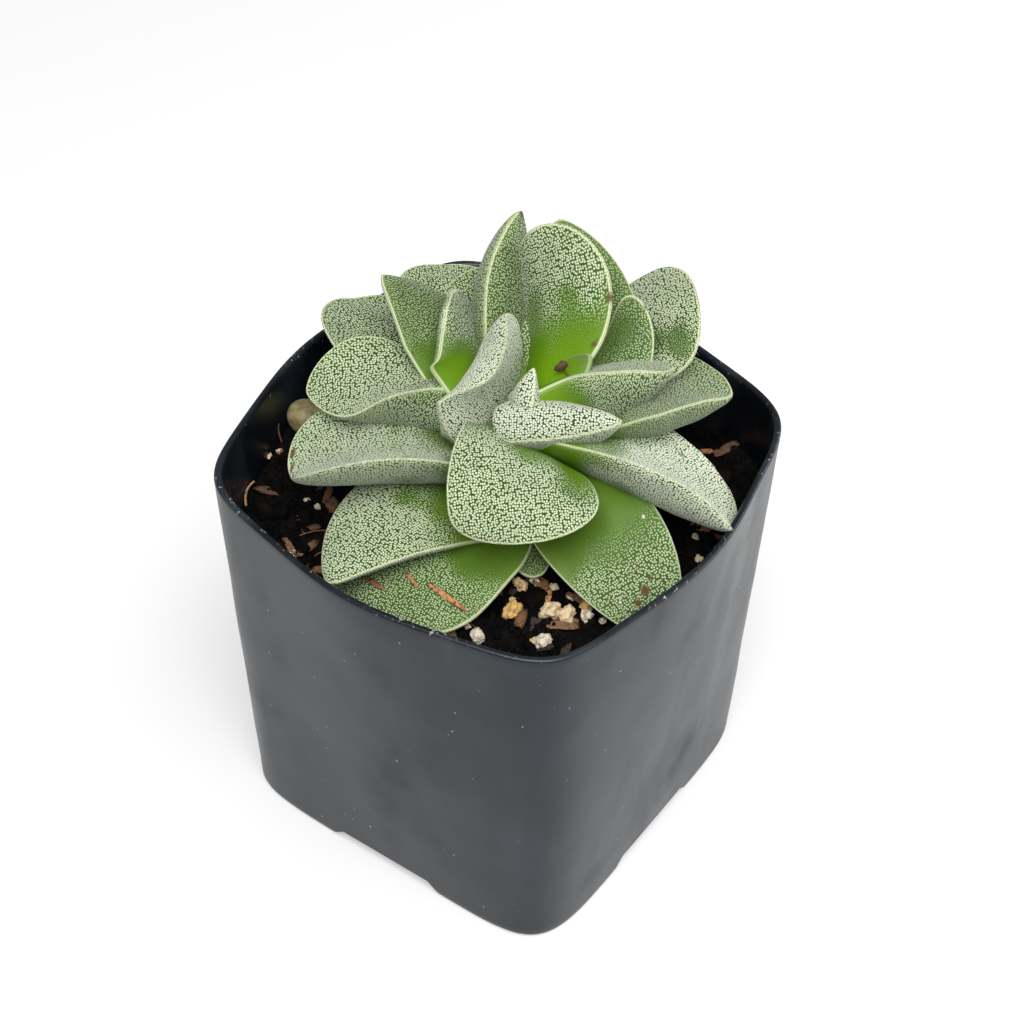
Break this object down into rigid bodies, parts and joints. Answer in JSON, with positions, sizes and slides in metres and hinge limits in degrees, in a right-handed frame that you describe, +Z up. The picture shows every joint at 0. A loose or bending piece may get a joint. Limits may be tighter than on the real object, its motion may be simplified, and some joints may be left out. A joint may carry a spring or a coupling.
{
  "type": "potted morgans beauty crassula",
  "caption": "Compact succulent rosette of thick, white-felted grey-green leaves on a short stem, rooted in gritty potting mix in a small square black nursery pot.",
  "frame": {"origin": "on the ground under the middle of the square pot", "axes": "+Z up, X and Y along the sides of the pot; the pot's corner between +X and -Y faces the picture's viewpoint"},
  "size_m": [0.054, 0.054, 0.0693],
  "materials": {
    "pot_plastic": "satin black injection-moulded plastic with faint cloudy streaks and dust",
    "potting_mix": "damp dark peat with bark chips and white perlite grains",
    "pebble": "smooth tan river pebble",
    "stem": "short fleshy stem with dry leaf scars",
    "leaf": "grey-green succulent leaf felted with tiny white papillae, pale margins, smooth bright green near the root",
    "young_leaf": "youngest leaves, almost white with crowded papillae",
    "perlite": "rough white to cream volcanic grains",
    "bark": "small fibrous bark and coir scraps"
  },
  "bodies": {
    "root": {"pot": "pot_plastic", "soil": "potting_mix", "pebble": "pebble", "stem": "stem", "leaf_crown_pair": "young_leaf", "leaf_crown_left": "young_leaf", "leaf_crown_back_left": "young_leaf", "leaf_front_upper": "leaf", "leaf_back_tall_right": "leaf", "leaf_back_tall_left": "leaf", "leaf_right_upper": "leaf", "leaf_left_upper": "leaf", "leaf_back_left_upper": "leaf", "leaf_right_middle": "leaf", "leaf_front_right_middle": "leaf", "leaf_left_middle": "leaf", "leaf_right_small": "leaf", "leaf_back_wide": "leaf", "leaf_right_outer": "leaf", "leaf_back_small": "leaf", "leaf_back_left_lower": "leaf", "leaf_left_outer": "leaf", "leaf_front_left_middle": "leaf", "leaf_front_right_lower": "leaf", "leaf_front_left_lower": "leaf", "leaf_front_small": "leaf", "leaf_back_lower": "leaf", "flower_stalk_bract": "leaf"}
  },
  "joints": []
}
